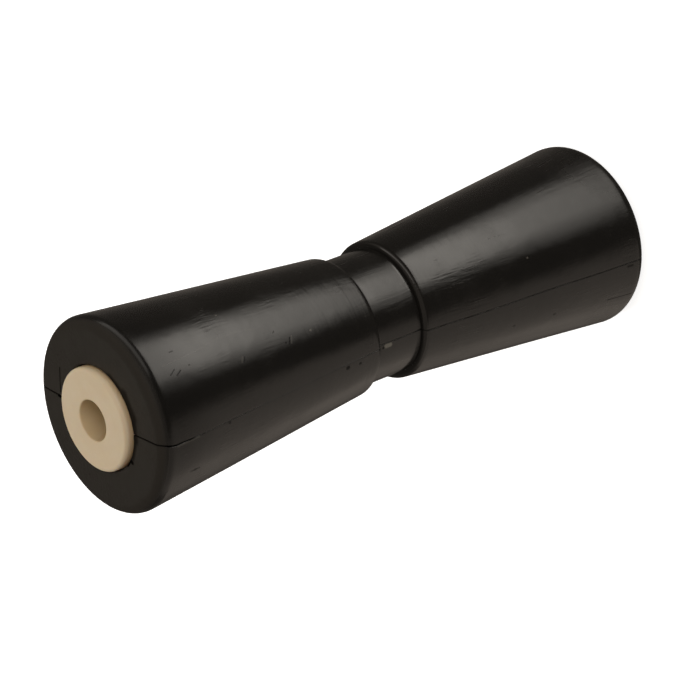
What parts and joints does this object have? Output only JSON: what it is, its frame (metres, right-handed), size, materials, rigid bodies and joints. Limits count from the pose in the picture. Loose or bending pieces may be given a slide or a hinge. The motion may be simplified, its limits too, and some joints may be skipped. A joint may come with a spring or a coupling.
{
  "type": "boat trailer keel roller",
  "caption": "Double-cone rubber keel roller with a stepped neck and a flanged nylon bush in each end.",
  "frame": {"origin": "centre of the lower bush's outer face, on which the roller stands on its end", "axes": "+Z along the spindle's axis towards the upper bush"},
  "size_m": [0.078, 0.078, 0.26],
  "materials": {
    "rubber": "satin moulded black rubber",
    "bush": "natural cream nylon"
  },
  "bodies": {
    "root": {"roller_body": "rubber", "upper_bush": "bush", "lower_bush": "bush"}
  },
  "joints": []
}
